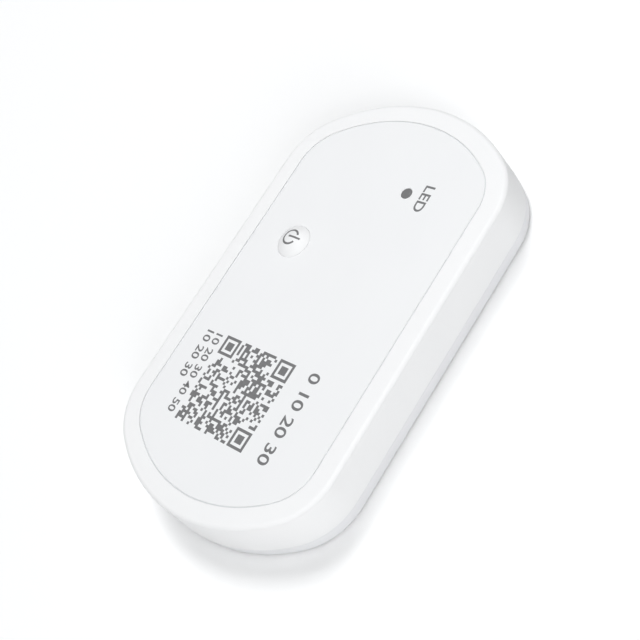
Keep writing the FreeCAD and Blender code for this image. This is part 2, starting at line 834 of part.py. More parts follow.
def make_switch():
    """Push switch: moulded base with four leads, snap dome, plunger and the plate over them."""
    x = BUTTON_X
    y = BUTTON_Y
    block = box("switch_block", x, y, BOARD_TOP, "switch_side", "switch_side", "switch_base_height")
    floor = f"{BOARD_TOP} + switch_well_floor"
    well = cylinder("switch_well", x, y, floor, "switch_well_radius", "switch_base_height")
    pieces = [cut("switch_body", block, well)]
    for i, j in CORNER_SIGNS:
        lead_x = f"{x} + {i} * (switch_side + switch_lead_reach) / 2"
        lead_y = f"{y} + {j} * switch_lead_spread"
        size = ("switch_lead_reach", "switch_lead_width", "switch_lead_thickness")
        pieces.append(box(f"switch_lead_{len(pieces)}", lead_x, lead_y, BOARD_TOP, *size))
    finished("switch_base", fused("switch_base_leads", pieces))

    plate = box("switch_sheet", x, y, SWITCH_BASE_TOP, "switch_side", "switch_side", "switch_plate")
    window_radius = "plunger_radius + plunger_gap"
    window = cylinder("switch_window", x, y, SWITCH_BASE_TOP, window_radius, "switch_plate")
    finished("switch_cover", cut("switch_frame", plate, window))

    collar_top = f"{SWITCH_BASE_TOP} - plunger_gap"
    collar_bottom = f"{SWITCH_BASE_TOP} - plunger_gap - plunger_collar_height"
    turned(
        "switch_plunger",
        [
            ("0", collar_bottom),
            ("plunger_collar_radius", collar_bottom),
            ("plunger_collar_radius", collar_top),
            ("plunger_radius", collar_top),
            ("plunger_radius", MEMBRANE_BOTTOM),
            ("0", MEMBRANE_BOTTOM),
        ],
        x,
        y,
    )


def make_switch_dome():
    """Thin sprung steel dome in the switch's well, under the plunger."""
    radius = "((dome_radius ^ 2 + dome_rise ^ 2) / (2 * dome_rise))"
    base = f"{BOARD_TOP} + switch_well_floor"
    centre = f"{base} + dome_rise - {radius}"

    def ball(name, size):
        sphere = doc.addObject("Part::Sphere", name)
        sphere.setExpression("Radius", full(size))
        place(sphere, BUTTON_X, BUTTON_Y, centre)
        return sphere

    shell = cut("dome_shell", ball("dome_outer", radius), ball("dome_inner", f"{radius} - dome_sheet"))
    kept = cylinder("dome_zone", BUTTON_X, BUTTON_Y, base, "dome_radius", "2 * dome_rise")
    dome = doc.addObject("Part::MultiCommon", "dome_cap")
    dome.Shapes = [shell, kept]
    finished("switch_dome", dome)


def make_radio():
    """Radio module: its own small board, the processor on it and the pressed shield can."""
    size = ("radio_width", "radio_length", "radio_board_thickness")
    finished("radio_board", box("radio_blank", "radio_x", RADIO_Y, BOARD_TOP, *size))
    top = f"{BOARD_TOP} + radio_board_thickness"
    width = "radio_width - 2 * shield_margin"
    length = "radio_length - 2 * shield_margin"
    outer = box("shield_outer", "radio_x", RADIO_Y, top, width, length, "shield_height")
    upper = number(f"{top} + shield_height")
    edges_above = lambda edge: edge.BoundBox.ZMax > upper - 1e-4
    rounded = softened("shield_pressed", outer, "shield_round", True, edges_above)
    inside = (f"{width} - 2 * shield_wall", f"{length} - 2 * shield_wall", "shield_height - shield_wall")
    hollow = box("shield_hollow", "radio_x", RADIO_Y, top, *inside)
    finished("radio_shield", cut("shield_can", rounded, hollow))
    size = ("processor_side", "processor_side", "processor_height")
    finished("radio_processor", box("processor_block", "radio_x", RADIO_Y, top, *size))


def make_memory_chip():
    """Memory chip: moulded body with a bevelled top and flat leads on two sides."""
    body_size = ("memory_width", "memory_length", "memory_height")
    block = box("memory_block", "memory_x", MEMORY_Y, BOARD_TOP, *body_size)
    top = lies_at(f"{BOARD_TOP} + memory_height")
    pieces = [softened("memory_body", block, "memory_bevel", False, top)]
    for side in (1, -1):
        for index in range(MEMORY_LEADS_PER_SIDE):
            shift = index - (MEMORY_LEADS_PER_SIDE - 1) / 2
            x = f"memory_x + {side} * (memory_width + lead_reach) / 2"
            y = f"{MEMORY_Y} + {shift} * lead_pitch"
            size = ("lead_reach", "lead_width", "lead_thickness")
            pieces.append(box(f"memory_lead_{len(pieces)}", x, y, BOARD_TOP, *size))
    finished("memory_chip", fused("memory_leads", pieces))


def make_board_parts():
    """Crystal, buffer capacitor, antenna and status light on the board's upper side."""
    for name, sizes, x, y in [
        ("crystal_can", "crystal", "crystal_x", "case_length / 2 - crystal_end"),
        ("buffer_capacitor", "buffer", "buffer_x", f"{CELL_Y} + cell_radius + buffer_gap"),
        ("chip_antenna", "antenna", "0", "case_length / 2 - antenna_end"),
        ("status_led", "led", LIGHT_X, LIGHT_Y),
    ]:
        size = (f"{sizes}_width", f"{sizes}_length", f"{sizes}_height")
        finished(name, box(f"{name}_block", x, y, BOARD_TOP, *size))


def make_chip_row(name, centre_x, centre_y, height):
    """A row of small chip parts, one pitch apart along the board."""
    chips = []
    for index in range(CHIP_ROW_COUNT):
        shift = index - (CHIP_ROW_COUNT - 1) / 2
        y = f"{centre_y} + {shift} * chip_pitch"
        chips.append(box(f"{name}_{index}", centre_x, y, BOARD_TOP, "chip_width", "chip_length", height))
    grouped(name, chips)


def make_sensor():
    """Temperature sensor below the board, and the soft pad that joins it to the rear cover."""
    low = f"{BOARD_BOTTOM} - sensor_height"
    y = "case_length / 2 - sensor_end"
    sensor = box("sensor_block", "0", y, low, "sensor_side", "sensor_side", "sensor_height")
    finished("temperature_sensor", sensor)
    size = ("sensor_pad_side", "sensor_pad_side", f"{low} - cover_floor")
    finished("sensor_pad", box("sensor_pad_block", "0", y, "cover_floor", *size))


def check_document():
    """Every object is sound and every sub-part is a valid solid."""
    doc.recompute()
    for thing in doc.Objects:
        if "Invalid" in thing.State or "Error" in thing.State:
            raise RuntimeError(f"{thing.Name} failed: {thing.State}")
    for part in subparts:
        if part.Shape.isNull() or not part.Shape.isValid() or not part.Shape.Solids:
            raise RuntimeError(f"{part.Label} has no valid solid")


def write_parts():
    os.makedirs("parts", exist_ok=True)
    for part in subparts:
        part.Shape.exportStep(f"parts/{part.Label}.step")
        print(part.Label, len(part.Shape.Solids), "solid, mm3", round(part.Shape.Volume, 2))


make_front_shell()
make_rear_cover()
make_case_gasket()
make_front_label()
make_button_cap()
make_button_membrane()
make_light_pipe()
make_circuit_board()
make_case_screws()
make_board_screws()
make_coin_cell()
make_cell_pad()
make_cell_strap()
make_side_contact()
make_switch()
make_switch_dome()
make_radio()
make_memory_chip()
make_board_parts()
make_chip_row("capacitors", BESIDE_RADIO, RADIO_Y, "capacitor_height")
make_chip_row("resistors", BESIDE_MEMORY, MEMORY_Y, "resistor_height")
make_sensor()
check_document()
write_parts()
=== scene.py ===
import math
import random

import bmesh
import bpy
from mathutils import Matrix, Quaternion, Vector


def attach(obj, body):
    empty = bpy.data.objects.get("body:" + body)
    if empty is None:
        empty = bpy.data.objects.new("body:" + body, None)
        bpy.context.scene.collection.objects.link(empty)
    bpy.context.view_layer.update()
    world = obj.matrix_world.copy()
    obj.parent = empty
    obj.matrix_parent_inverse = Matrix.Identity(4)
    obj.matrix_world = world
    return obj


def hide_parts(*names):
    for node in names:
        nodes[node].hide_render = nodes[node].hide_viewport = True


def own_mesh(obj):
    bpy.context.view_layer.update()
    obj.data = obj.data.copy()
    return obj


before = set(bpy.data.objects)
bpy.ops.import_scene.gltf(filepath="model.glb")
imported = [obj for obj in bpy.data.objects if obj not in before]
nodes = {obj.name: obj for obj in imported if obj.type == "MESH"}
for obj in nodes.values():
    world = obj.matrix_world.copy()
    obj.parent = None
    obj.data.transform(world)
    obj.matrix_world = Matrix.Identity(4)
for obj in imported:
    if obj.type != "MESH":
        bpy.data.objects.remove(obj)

scene = bpy.context.scene
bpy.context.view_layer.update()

# Rear cover. The lower half of the case, one white moulding, coloured darker and bluer than
# the front half as painted shade for the case's shadier lower band.
# A land carries the gasket, a tongue finds the front half, a round wall holds the cell,
# and four bosses take the case screws from behind.

MM = 0.001
WELD = 0.0001
CORNER_X, CORNER_Y, CORNER_RADIUS = 10.3, 22.695, 12.2
END_Y = 9.55
CORNER_STEPS, END_STEPS = 20, 14
COVER_FLOOR, PARTING = 1.2, 2.4
REAR_RING, REAR_LEAN, REAR_ROUND = 1.2, 0.2, 0.4
GROOVE_OUTER, GROOVE_INNER, GROOVE_FLOOR = 0.6, 1.5, 1.8
TONGUE_OUTER, TONGUE_INNER, TONGUE_TOP = 2.02, 2.92, 3.4
SCREW_PLACES = [(x, y) for x in (-14.8, 14.8) for y in (-26.395, 26.395)]
BOSS_RADIUS, BOSS_HOLE, BOSS_TOP = 2.9, 1.15, 3.05
HEAD_HOLE, HEAD_RING, HEAD_SEAT = 1.95, 2.2, 1.3
CELL_PLACE = (0.0, -17.5)
CELL_WALL_OUTER, CELL_WALL_INNER, CELL_WALL_TOP = 13.35, 12.55, 3.25


def once(parts):
    """These parts in their own order, each of them once."""
    return list(dict.fromkeys(parts))


def outline(bm, inset, level):
    """Adds the case's outline, set in from its widest line, and returns its edges."""
    known = set(bm.edges)
    turn = math.atan2(CORNER_Y - END_Y, CORNER_X)
    middle = bmesh.ops.create_vert(bm, co=(CORNER_X + CORNER_RADIUS - inset, 0.0, level))["vert"]
    tip = bmesh.ops.extrude_vert_indiv(bm, verts=middle)["verts"]
    bmesh.ops.translate(bm, verts=tip, vec=(0.0, CORNER_Y, 0.0))
    corner = bmesh.ops.spin(
        bm,
        geom=tip,
        cent=(CORNER_X, CORNER_Y, level),
        axis=(0, 0, 1),
        angle=turn,
        steps=CORNER_STEPS,
    )
    bmesh.ops.spin(
        bm,
        geom=corner["geom_last"],
        cent=(0.0, END_Y, level),
        axis=(0, 0, 1),
        angle=math.pi / 2 - turn,
        steps=END_STEPS,
    )
    for axis in ("X", "Y"):
        drawn = [edge for edge in bm.edges if edge not in known]
        corners = once(vert for edge in drawn for vert in edge.verts)
        bmesh.ops.mirror(
            bm, geom=drawn + corners, matrix=Matrix.Identity(4), merge_dist=WELD, axis=axis
        )
    return [edge for edge in bm.edges if edge not in known]


def circle(bm, place, radius, level, sides=64):
    """Adds a circle round a place of the case and returns its edges."""
    spot = Matrix.Translation((place[0], place[1], level))
    ring = bmesh.ops.create_circle(bm, segments=sides, radius=radius, matrix=spot)["verts"]
    return once(edge for vert in ring for edge in vert.link_edges)


def walls(bm, rings):
    """Joins rings one after another, each lifted for a moment so that level ones join too."""
    lift = Vector((0.0, 0.0, 20.0))
    for lower, upper in zip(rings, rings[1:]):
        corners = once(vert for edge in upper for vert in edge.verts)
        bmesh.ops.translate(bm, verts=corners, vec=lift)
        bmesh.ops.bridge_loops(bm, edges=lower + upper)
        bmesh.ops.translate(bm, verts=corners, vec=-lift)
    return rings


def outline_walls(bm, profile):
    """A wall along the case's outline through pairs of inset and level."""
    return walls(bm, [outline(bm, inset, level) for inset, level in profile])


def round_walls(bm, place, profile, sides=64):
    """A round wall through pairs of radius and level."""
    return walls(bm, [circle(bm, place, radius, level, sides) for radius, level in profile])


def flat(bm, *rings):
    """Fills the level face that these rings bound, leaving the inner ones open."""
    bmesh.ops.triangle_fill(bm, use_beauty=True, edges=[edge for ring in rings for edge in ring])


def rounded(bm, edges, size, segments=2):
    """Breaks sharp edges with a small round."""
    bmesh.ops.bevel(
        bm,
        geom=edges,
        offset=size,
        offset_type="OFFSET",
        segments=segments,
        profile=0.5,
        affect="EDGES",
        clamp_overlap=True,
        material=-1,
    )


def piece(name, bm, material, body, slot, *stands_for):
    """Turns a mesh drawn in millimetres into a finished piece in its own place on the case."""
    bmesh.ops.recalc_face_normals(bm, faces=bm.faces)
    bmesh.ops.scale(bm, vec=(MM, MM, MM), verts=bm.verts)
    mesh = bpy.data.meshes.new(name)
    bm.to_mesh(mesh)
    bm.free()
    mesh.shade_smooth()
    mesh.set_sharp_from_angle(angle=math.radians(32))
    mesh.materials.append(material)
    made = bpy.data.objects.new(name, mesh)
    scene.collection.objects.link(made)
    made.modifiers.new("Level faces", "WEIGHTED_NORMAL").keep_sharp = True
    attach(made, body)
    if stands_for:
        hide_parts(*stands_for)
    return made


def node_group(name, inputs, outputs):
    """An empty shader node group with these inputs and outputs, and its two end nodes."""
    group = bpy.data.node_groups.new(name, "ShaderNodeTree")
    for label, kind, value in inputs:
        socket = group.interface.new_socket(label, in_out="INPUT", socket_type="NodeSocket" + kind)
        socket.default_value = value
    for label, kind in outputs:
        group.interface.new_socket(label, in_out="OUTPUT", socket_type="NodeSocket" + kind)
    given = group.nodes.new("NodeGroupInput").outputs
    return group, given, group.nodes.new("NodeGroupOutput").inputs


def add_node(tree, kind, inputs, **settings):
    """Adds a node, sets it up, and links or sets its inputs."""
    node = tree.nodes.new("ShaderNode" + kind)
    for label, value in settings.items():
        setattr(node, label, value)
    for label, value in inputs.items():
        if isinstance(value, bpy.types.NodeSocket):
            tree.links.new(value, node.inputs[label])
        else:
            node.inputs[label].default_value = value
    return node


def number(tree, kind, first, second):
    """One number worked out from two others."""
    return add_node(tree, "Math", {0: first, 1: second}, operation=kind).outputs["Value"]


def blend_colours(tree, mask, first, second):
    """One colour where the mask is black and another where it is white."""
    return add_node(tree, "Mix", {0: mask, 6: first, 7: second}, data_type="RGBA").outputs[2]


def spread(tree, value, low, high, new_low, new_high):
    """Stretches a value from one range to another."""
    ends = {"From Min": low, "From Max": high, "To Min": new_low, "To Max": new_high}
    return add_node(tree, "MapRange", {"Value": value, **ends}).outputs["Result"]


def object_place(tree):
    """Where a point lies on the case, in metres."""
    return add_node(tree, "TexCoord", {}).outputs["Object"]


def noise(tree, where, scale, detail=3.0):
    """A cloudy pattern, whose clouds are one over the scale in size, in metres."""
    return add_node(
        tree, "TexNoise", {"Vector": where, "Scale": scale, "Detail": detail}
    ).outputs["Fac"]


FINISH_INPUTS = [
    ("Tone", "Color", (0.8, 0.8, 0.8, 1.0)),
    ("Shade", "Color", (0.75, 0.75, 0.75, 1.0)),
    ("Smoothest", "Float", 0.4),
    ("Roughest", "Float", 0.5),
]
FINISH_OUTPUTS = [("Colour", "Color"), ("Roughness", "Float"), ("Height", "Float")]

moulded_grain, given, filled = node_group(
    "Moulded grain",
    FINISH_INPUTS + [("Patch scale", "Float", 90.0), ("Grain scale", "Float", 9000.0)],
    FINISH_OUTPUTS,
)
where = object_place(moulded_grain)
patches = noise(moulded_grain, where, given["Patch scale"], 4.0)
grain = noise(moulded_grain, where, given["Grain scale"], 2.0)
pits = add_node(
    moulded_grain,
    "TexVoronoi",
    {"Vector": where, "Scale": given["Grain scale"]},
    feature="SMOOTH_F1",
).outputs["Distance"]
for result, socket in (
    (
        blend_colours(
            moulded_grain,
            spread(moulded_grain, patches, 0.35, 0.65, 0.0, 1.0),
            given["Tone"],
            given["Shade"],
        ),
        "Colour",
    ),
    (
        spread(moulded_grain, grain, 0.3, 0.7, given["Smoothest"], given["Roughest"]),
        "Roughness",
    ),
    (number(moulded_grain, "ADD", grain, pits), "Height"),
):
    moulded_grain.links.new(result, filled[socket])


def material_tree(name):
    """A new material with its node tree and its surface shader."""
    made = bpy.data.materials.new(name)
    made.use_nodes = True
    return made, made.node_tree, made.node_tree.nodes["Principled BSDF"]


def relief_on(tree, surface, height, strength, depth):
    """Raises and sinks a surface by a height of this real depth, in metres."""
    bump = add_node(tree, "Bump", {"Height": height, "Strength": strength, "Distance": depth})
    tree.links.new(bump.outputs["Normal"], surface.inputs["Normal"])


GRAIN_STRENGTH = 0.4


def finished(name, group, tone, shade, gloss, depth, **scales):
    """A material whose colour, gloss and relief come from one of the finish groups."""
    made, tree, surface = material_tree(name)
    finish = add_node(tree, "Group", {}, node_tree=group)
    finish.inputs["Tone"].default_value = (*tone, 1.0)
    finish.inputs["Shade"].default_value = (*shade, 1.0)
    finish.inputs["Smoothest"].default_value = gloss[0]
    finish.inputs["Roughest"].default_value = gloss[1]
    for label, value in scales.items():
        finish.inputs[label.replace("_", " ").capitalize()].default_value = value
    tree.links.new(finish.outputs["Colour"], surface.inputs["Base Color"])
    tree.links.new(finish.outputs["Roughness"], surface.inputs["Roughness"])
    relief_on(tree, surface, finish.outputs["Height"], GRAIN_STRENGTH, depth)
    return made, tree, surface


# Painted shade: the cover's white is set darker and bluer than the front half's, standing in for
# the lower band's shade.
shaded_cover_white, _, _ = finished(
    "Cover white painted shade",
    moulded_grain,
    tone=(0.832, 0.837, 0.85),
    shade=(0.82, 0.826, 0.84),
    gloss=(0.42, 0.54),
    depth=0.00001,
    grain_scale=7000.0,
)

cover = bmesh.new()
rear_face, rear_edge, widest = outline_walls(
    cover, [(REAR_RING, 0.0), (REAR_LEAN, 0.0), (0.0, PARTING)]
)
land = outline_walls(
    cover,
    [
        (GROOVE_OUTER, PARTING),
        (GROOVE_OUTER, GROOVE_FLOOR),
        (GROOVE_INNER, GROOVE_FLOOR),
        (GROOVE_INNER, PARTING),
        (TONGUE_OUTER, PARTING),
        (TONGUE_OUTER, TONGUE_TOP),
        (TONGUE_INNER, TONGUE_TOP),
        (TONGUE_INNER, COVER_FLOOR),
    ],
)
walls(cover, [widest, land[0]])
boss_profile = [
    (BOSS_RADIUS, COVER_FLOOR),
    (BOSS_RADIUS, BOSS_TOP),
    (BOSS_HOLE, BOSS_TOP),
    (BOSS_HOLE, HEAD_SEAT),
    (HEAD_HOLE, HEAD_SEAT),
    (HEAD_HOLE, 0.0),
    (HEAD_RING, 0.0),
]
bosses = [round_walls(cover, place, boss_profile, sides=48) for place in SCREW_PLACES]
cell_profile = [
    (CELL_WALL_OUTER, COVER_FLOOR),
    (CELL_WALL_OUTER, CELL_WALL_TOP),
    (CELL_WALL_INNER, CELL_WALL_TOP),
    (CELL_WALL_INNER, COVER_FLOOR),
]
cell_wall = round_walls(cover, CELL_PLACE, cell_profile, sides=128)
flat(cover, rear_face, *[boss[-1] for boss in bosses])
flat(cover, land[-1], cell_wall[0], *[boss[0] for boss in bosses])
flat(cover, cell_wall[-1])
tongue_rims, cell_wall_rims = land[5] + land[6], cell_wall[1] + cell_wall[2]
soft_edges = widest + tongue_rims + cell_wall_rims
for _, boss_rim, _, _, _, head_hole_rim, _ in bosses:
    soft_edges += boss_rim + head_hole_rim
rounded(cover, soft_edges, 0.09)
rounded(cover, rear_edge, REAR_ROUND, segments=5)
piece("rear_half", cover, shaded_cover_white, "case", "shell_white", "rear_cover")

# Gasket. A grey silicone ring, moulded in one piece, that lies in the rear cover's groove
# and is squeezed by the front half.

GASKET_OUTER, GASKET_INNER = 0.65, 1.45

silicone_grey, _, _ = finished(
    "Silicone grey",
    moulded_grain,
    tone=(0.52, 0.53, 0.55),
    shade=(0.45, 0.46, 0.48),
    gloss=(0.55, 0.75),
    depth=0.00002,
    grain_scale=5000.0,
    patch_scale=600.0,
)

gasket = bmesh.new()
gasket_profile = [
    (GASKET_OUTER, GROOVE_FLOOR),
    (GASKET_OUTER, PARTING),
    (GASKET_INNER, PARTING),
    (GASKET_INNER, GROOVE_FLOOR),
]
low_outer, top_outer, top_inner, low_inner = [
    outline(gasket, inset, level) for inset, level in gasket_profile
]
walls(gasket, [low_outer, top_outer, top_inner, low_inner, low_outer])
rounded(gasket, top_outer + top_inner, 0.2, segments=4)
rounded(gasket, low_outer + low_inner, 0.1)
piece("gasket_ring", gasket, silicone_grey, "case", "silicone_grey", "case_gasket")

# Temperature sensor and its pad. The sensor is a small moulded chip under the board,
# and a soft grey pad presses it to the rear cover so that it feels the air's temperature.


def refinish(name, material):
    """Gives a piece of the frame a finished material in place of its plain one."""
    for slot in nodes[name].material_slots:
        slot.material = material


MOULDED_CHIP = {
    "tone": (0.022, 0.022, 0.025),
    "shade": (0.040, 0.040, 0.043),
    "gloss": (0.45, 0.68),
    "depth": 0.00002,
    "grain_scale": 16000.0,
}
chip_black, _, _ = finished("Chip black", moulded_grain, **MOULDED_CHIP, patch_scale=1500.0)
refinish("temperature_sensor", chip_black)

foam_grey, _, _ = finished(
    "Foam grey",
    moulded_grain,
    tone=(0.30, 0.31, 0.33),
    shade=(0.22, 0.23, 0.25),
    gloss=(0.80, 0.95),
    depth=0.00008,
    grain_scale=3200.0,
    patch_scale=900.0,
)
refinish("sensor_pad", foam_grey)

# Coin cell on its foam disc. The can is drawn from nickel-plated steel and closed by a cap,
# with a moulded seal between them. The presses leave fine rings round the cell's middle.

refinish("cell_pad", foam_grey)

grommet_black, _, _ = finished(
    "Grommet black",
    moulded_grain,
    tone=(0.030, 0.030, 0.032),
    shade=(0.055, 0.055, 0.058),
    gloss=(0.35, 0.5),
    depth=0.00001,
    grain_scale=6000.0,
    patch_scale=700.0,
)
refinish("cell_grommet", grommet_black)

RING_SCALE, STAIN_SCALE = 9000.0, 260.0

cell_steel, steel_tree, steel_surface = material_tree("Cell steel")
middle = add_node(
    steel_tree,
    "VectorMath",
    {0: object_place(steel_tree), 1: (0.0, CELL_PLACE[1] * MM, 0.0)},
    operation="SUBTRACT",
).outputs["Vector"]
level_only = add_node(
    steel_tree, "VectorMath", {0: middle, 1: (1.0, 1.0, 0.0)}, operation="MULTIPLY"
).outputs["Vector"]
reach = add_node(steel_tree, "VectorMath", {0: level_only}, operation="LENGTH").outputs["Value"]
rings = add_node(
    steel_tree,
    "TexNoise",
    {"W": number(steel_tree, "MULTIPLY", reach, RING_SCALE), "Scale": 1.0, "Detail": 3.0},
    noise_dimensions="1D",
).outputs["Fac"]
stains = noise(steel_tree, middle, STAIN_SCALE, 5.0)
steel_tree.links.new(
    blend_colours(
        steel_tree,
        spread(steel_tree, stains, 0.35, 0.7, 0.0, 1.0),
        (0.66, 0.65, 0.63, 1.0),
        (0.50, 0.49, 0.47, 1.0),
    ),
    steel_surface.inputs["Base Color"],
)
steel_tree.links.new(
    spread(steel_tree, number(steel_tree, "ADD", rings, stains), 0.7, 1.3, 0.20, 0.38),
    steel_surface.inputs["Roughness"],
)
steel_surface.inputs["Metallic"].default_value = 1.0
relief_on(steel_tree, steel_surface, rings, 0.3, 0.000004)
refinish("cell_can", cell_steel)
refinish("cell_cap", cell_steel)

# Circuit board. Glass-fibre board cut out round the cell, under a green mask that is a little
# lighter over the copper tracks, with a few plated through holes. The radio module has its own.

solder_mask, given, filled = node_group(
    "Masked board", FINISH_INPUTS + [("Track scale", "Float", 500.0)], FINISH_OUTPUTS
)


def track_lines(where, width, length, pitch, shift, every):
    """Copper tracks as white lines, joined at this length and shifted every few rows."""
    return add_node(
        solder_mask,
        "TexBrick",
        {
            "Vector": where,
            "Color1": (0.0, 0.0, 0.0, 1.0),
            "Color2": (0.0, 0.0, 0.0, 1.0),
            "Mortar": (1.0, 1.0, 1.0, 1.0),
            "Scale": given["Track scale"],
            "Mortar Size": width,
            "Mortar Smooth": 0.2,
            "Brick Width": length,
            "Row Height": pitch,
        },
        offset=shift,
        offset_frequency=every,
    ).outputs["Color"]


COPPER = (0.62, 0.52, 0.28, 1.0)

where = object_place(solder_mask)
across = track_lines(where, width=0.05, length=2.6, pitch=0.7, shift=0.37, every=3)
turned_place = add_node(
    solder_mask, "Mapping", {"Vector": where, "Rotation": (0.0, 0.0, math.radians(90))}
).outputs["Vector"]
along = track_lines(turned_place, width=0.04, length=3.9, pitch=1.3, shift=0.29, every=2)
holes = add_node(
    solder_mask, "TexVoronoi", {"Vector": where, "Scale": given["Track scale"]}
).outputs["Distance"]
tracks = number(solder_mask, "MAXIMUM", across, along)
weave = noise(solder_mask, where, 2200.0, 2.0)
solder_mask.links.new(
    blend_colours(
        solder_mask,
        spread(solder_mask, holes, 0.06, 0.10, 1.0, 0.0),
        blend_colours(solder_mask, tracks, given["Tone"], given["Shade"]),
        COPPER,
    ),
    filled["Colour"],
)
solder_mask.links.new(
    spread(solder_mask, weave, 0.3, 0.7, given["Smoothest"], given["Roughest"]),
    filled["Roughness"],
)
faint_weave = number(solder_mask, "MULTIPLY", weave, 0.15)
solder_mask.links.new(number(solder_mask, "ADD", tracks, faint_weave), filled["Height"])

board_green, _, _ = finished(
    "Board green",
    solder_mask,
    tone=(0.012, 0.085, 0.035),
    shade=(0.030, 0.155, 0.065),
    gloss=(0.28, 0.40),
    depth=0.00003,
)
module_green, _, _ = finished(
    "Module green",
    solder_mask,
    tone=(0.006, 0.045, 0.030),
    shade=(0.016, 0.090, 0.055),
    gloss=(0.25, 0.38),
    depth=0.00002,
    track_scale=900.0,
)
refinish("circuit_board", board_green)
refinish("radio_board", module_green)

# Push switch under the power key: a moulded base with four tinned leads, a nickel-plated snap
# dome, a plunger and the plate that holds them.

KEY_PLACE = (-9.62, 8.48)
TIN = (0.72, 0.72, 0.70)
TIN_ROUGHNESS = 0.32
FADE = 0.02


def plated(node, name, axis, middle, half, metal=TIN, **finish):
    """Finishes a piece of the frame, with bright metal beyond this far from its middle."""
    made, tree, surface = finished(name, moulded_grain, **finish)
    colour = surface.inputs["Base Color"].links[0].from_socket
    rough = surface.inputs["Roughness"].links[0].from_socket
    parts = add_node(tree, "SeparateXYZ", {0: object_place(tree)}).outputs
    gap = number(tree, "SUBTRACT", parts[axis], middle * MM)
    off = add_node(tree, "Math", {0: gap}, operation="ABSOLUTE").outputs["Value"]
    mask = spread(tree, off, (half - FADE) * MM, (half + FADE) * MM, 0.0, 1.0)
    tree.links.new(blend_colours(tree, mask, colour, (*metal, 1.0)), surface.inputs["Base Color"])
    tree.links.new(mask, surface.inputs["Metallic"])
    gloss = add_node(tree, "Mix", {0: mask, 2: rough, 3: TIN_ROUGHNESS}).outputs[0]
    tree.links.new(gloss, surface.inputs["Roughness"])
    refinish(node, made)


plated("switch_base", "Switch base", "X", KEY_PLACE[0], 2.27, **MOULDED_CHIP)

rolled_sheet, given, filled = node_group(
    "Rolled sheet",
    FINISH_INPUTS + [("Stretch", "Vector", (300.0, 9000.0, 9000.0))],
    FINISH_OUTPUTS,
)
stretched = add_node(
    rolled_sheet,
    "VectorMath",
    {0: object_place(rolled_sheet), 1: given["Stretch"]},
    operation="MULTIPLY",
).outputs["Vector"]
lines = noise(rolled_sheet, stretched, 1.0, 4.0)
smears = noise(rolled_sheet, object_place(rolled_sheet), 450.0, 4.0)
rolled_sheet.links.new(
    blend_colours(
        rolled_sheet,
        spread(rolled_sheet, smears, 0.35, 0.65, 0.0, 1.0),
        given["Tone"],
        given["Shade"],
    ),
    filled["Colour"],
)
rolled_sheet.links.new(
    spread(
        rolled_sheet,
        number(rolled_sheet, "ADD", lines, smears),
        0.7,
        1.3,
        given["Smoothest"],
        given["Roughest"],
    ),
    filled["Roughness"],
)
rolled_sheet.links.new(lines, filled["Height"])

contact_nickel, _, nickel_surface = finished(
    "Contact nickel",
    rolled_sheet,
    tone=(0.70, 0.67, 0.61),
    shade=(0.58, 0.55, 0.49),
    gloss=(0.18, 0.36),
    depth=0.000004,
)
nickel_surface.inputs["Metallic"].default_value = 1.0
refinish("switch_cover", contact_nickel)
refinish("switch_plunger", chip_black)

DOME_LOW = 4.75
DOME_RISE = 0.4
DOME_REACH = 1.55
DOME_SHEET = 0.08
DOME_RADIUS = (DOME_REACH**2 + DOME_RISE**2) / (2 * DOME_RISE)
DOME_STEPS = 12


def dome_level(off, radius):
    """How high a ball of this radius stands, this far from the middle of the dome."""
    return DOME_LOW + DOME_RISE - DOME_RADIUS + math.sqrt(radius**2 - off**2)


def whole_turn(bm, place, profile, sides=96):
    """Turns a line through pairs of radius and level round a place, and returns its verts."""
    known = set(bm.verts)
    start, foot_level = profile[0]
    spot = bmesh.ops.create_vert(bm, co=(place[0] + start, place[1], foot_level))["vert"]
    for (radius, level), (next_radius, next_level) in zip(profile, profile[1:]):
        spot = bmesh.ops.extrude_vert_indiv(bm, verts=spot)["verts"]
        bmesh.ops.translate(bm, verts=spot, vec=(next_radius - radius, 0.0, next_level - level))
    drawn = [vert for vert in bm.verts if vert not in known]
    lines = once(edge for vert in drawn for edge in vert.link_edges)
    bmesh.ops.spin(
        bm,
        geom=drawn + lines,
        cent=(place[0], place[1], 0.0),
        axis=(0, 0, 1),
        angle=2 * math.pi,
        steps=sides,
        use_merge=True,
    )
    turned = [vert for vert in bm.verts if vert not in known]
    bmesh.ops.remove_doubles(bm, verts=turned, dist=WELD)
    return [vert for vert in bm.verts if vert not in known]


dome = bmesh.new()
over = [DOME_REACH * step / DOME_STEPS for step in range(DOME_STEPS + 1)]
foot = math.sqrt((DOME_RADIUS - DOME_SHEET) ** 2 - (DOME_RADIUS - DOME_RISE) ** 2)
under = [foot * step / DOME_STEPS for step in range(DOME_STEPS, -1, -1)]
whole_turn(
    dome,
    KEY_PLACE,
    [(off, dome_level(off, DOME_RADIUS)) for off in over]
    + [(off, dome_level(off, DOME_RADIUS - DOME_SHEET)) for off in under],
    sides=64,
)
snap_dome = piece("snap_dome", dome, contact_nickel, "case", "contact_nickel", "switch_dome")
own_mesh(snap_dome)

# Cell contacts. Nickel-plated spring strips soldered to the board: a strap over the cell
# and a leaf against the side of its can.

refinish("cell_strap", contact_nickel)
refinish("cell_side_contact", contact_nickel)

# Radio module. A processor and its parts on the module's own board, under a pressed can
# of tinned steel.

shield_steel, _, shield_surface = finished(
    "Shield steel",
    rolled_sheet,
    tone=(0.68, 0.69, 0.70),
    shade=(0.56, 0.57, 0.58),
    gloss=(0.22, 0.42),
    depth=0.000005,
    stretch=(7000.0, 260.0, 7000.0),
)
shield_surface.inputs["Metallic"].default_value = 1.0
refinish("radio_shield", shield_steel)
refinish("radio_processor", chip_black)

# Small parts on the board: memory chip, crystal, buffer capacitor, chip antenna, two rows
# of chip parts and the status light. Their plated ends are soldered to the board.

WINDOW_PLACE = (5.2, 22.1)

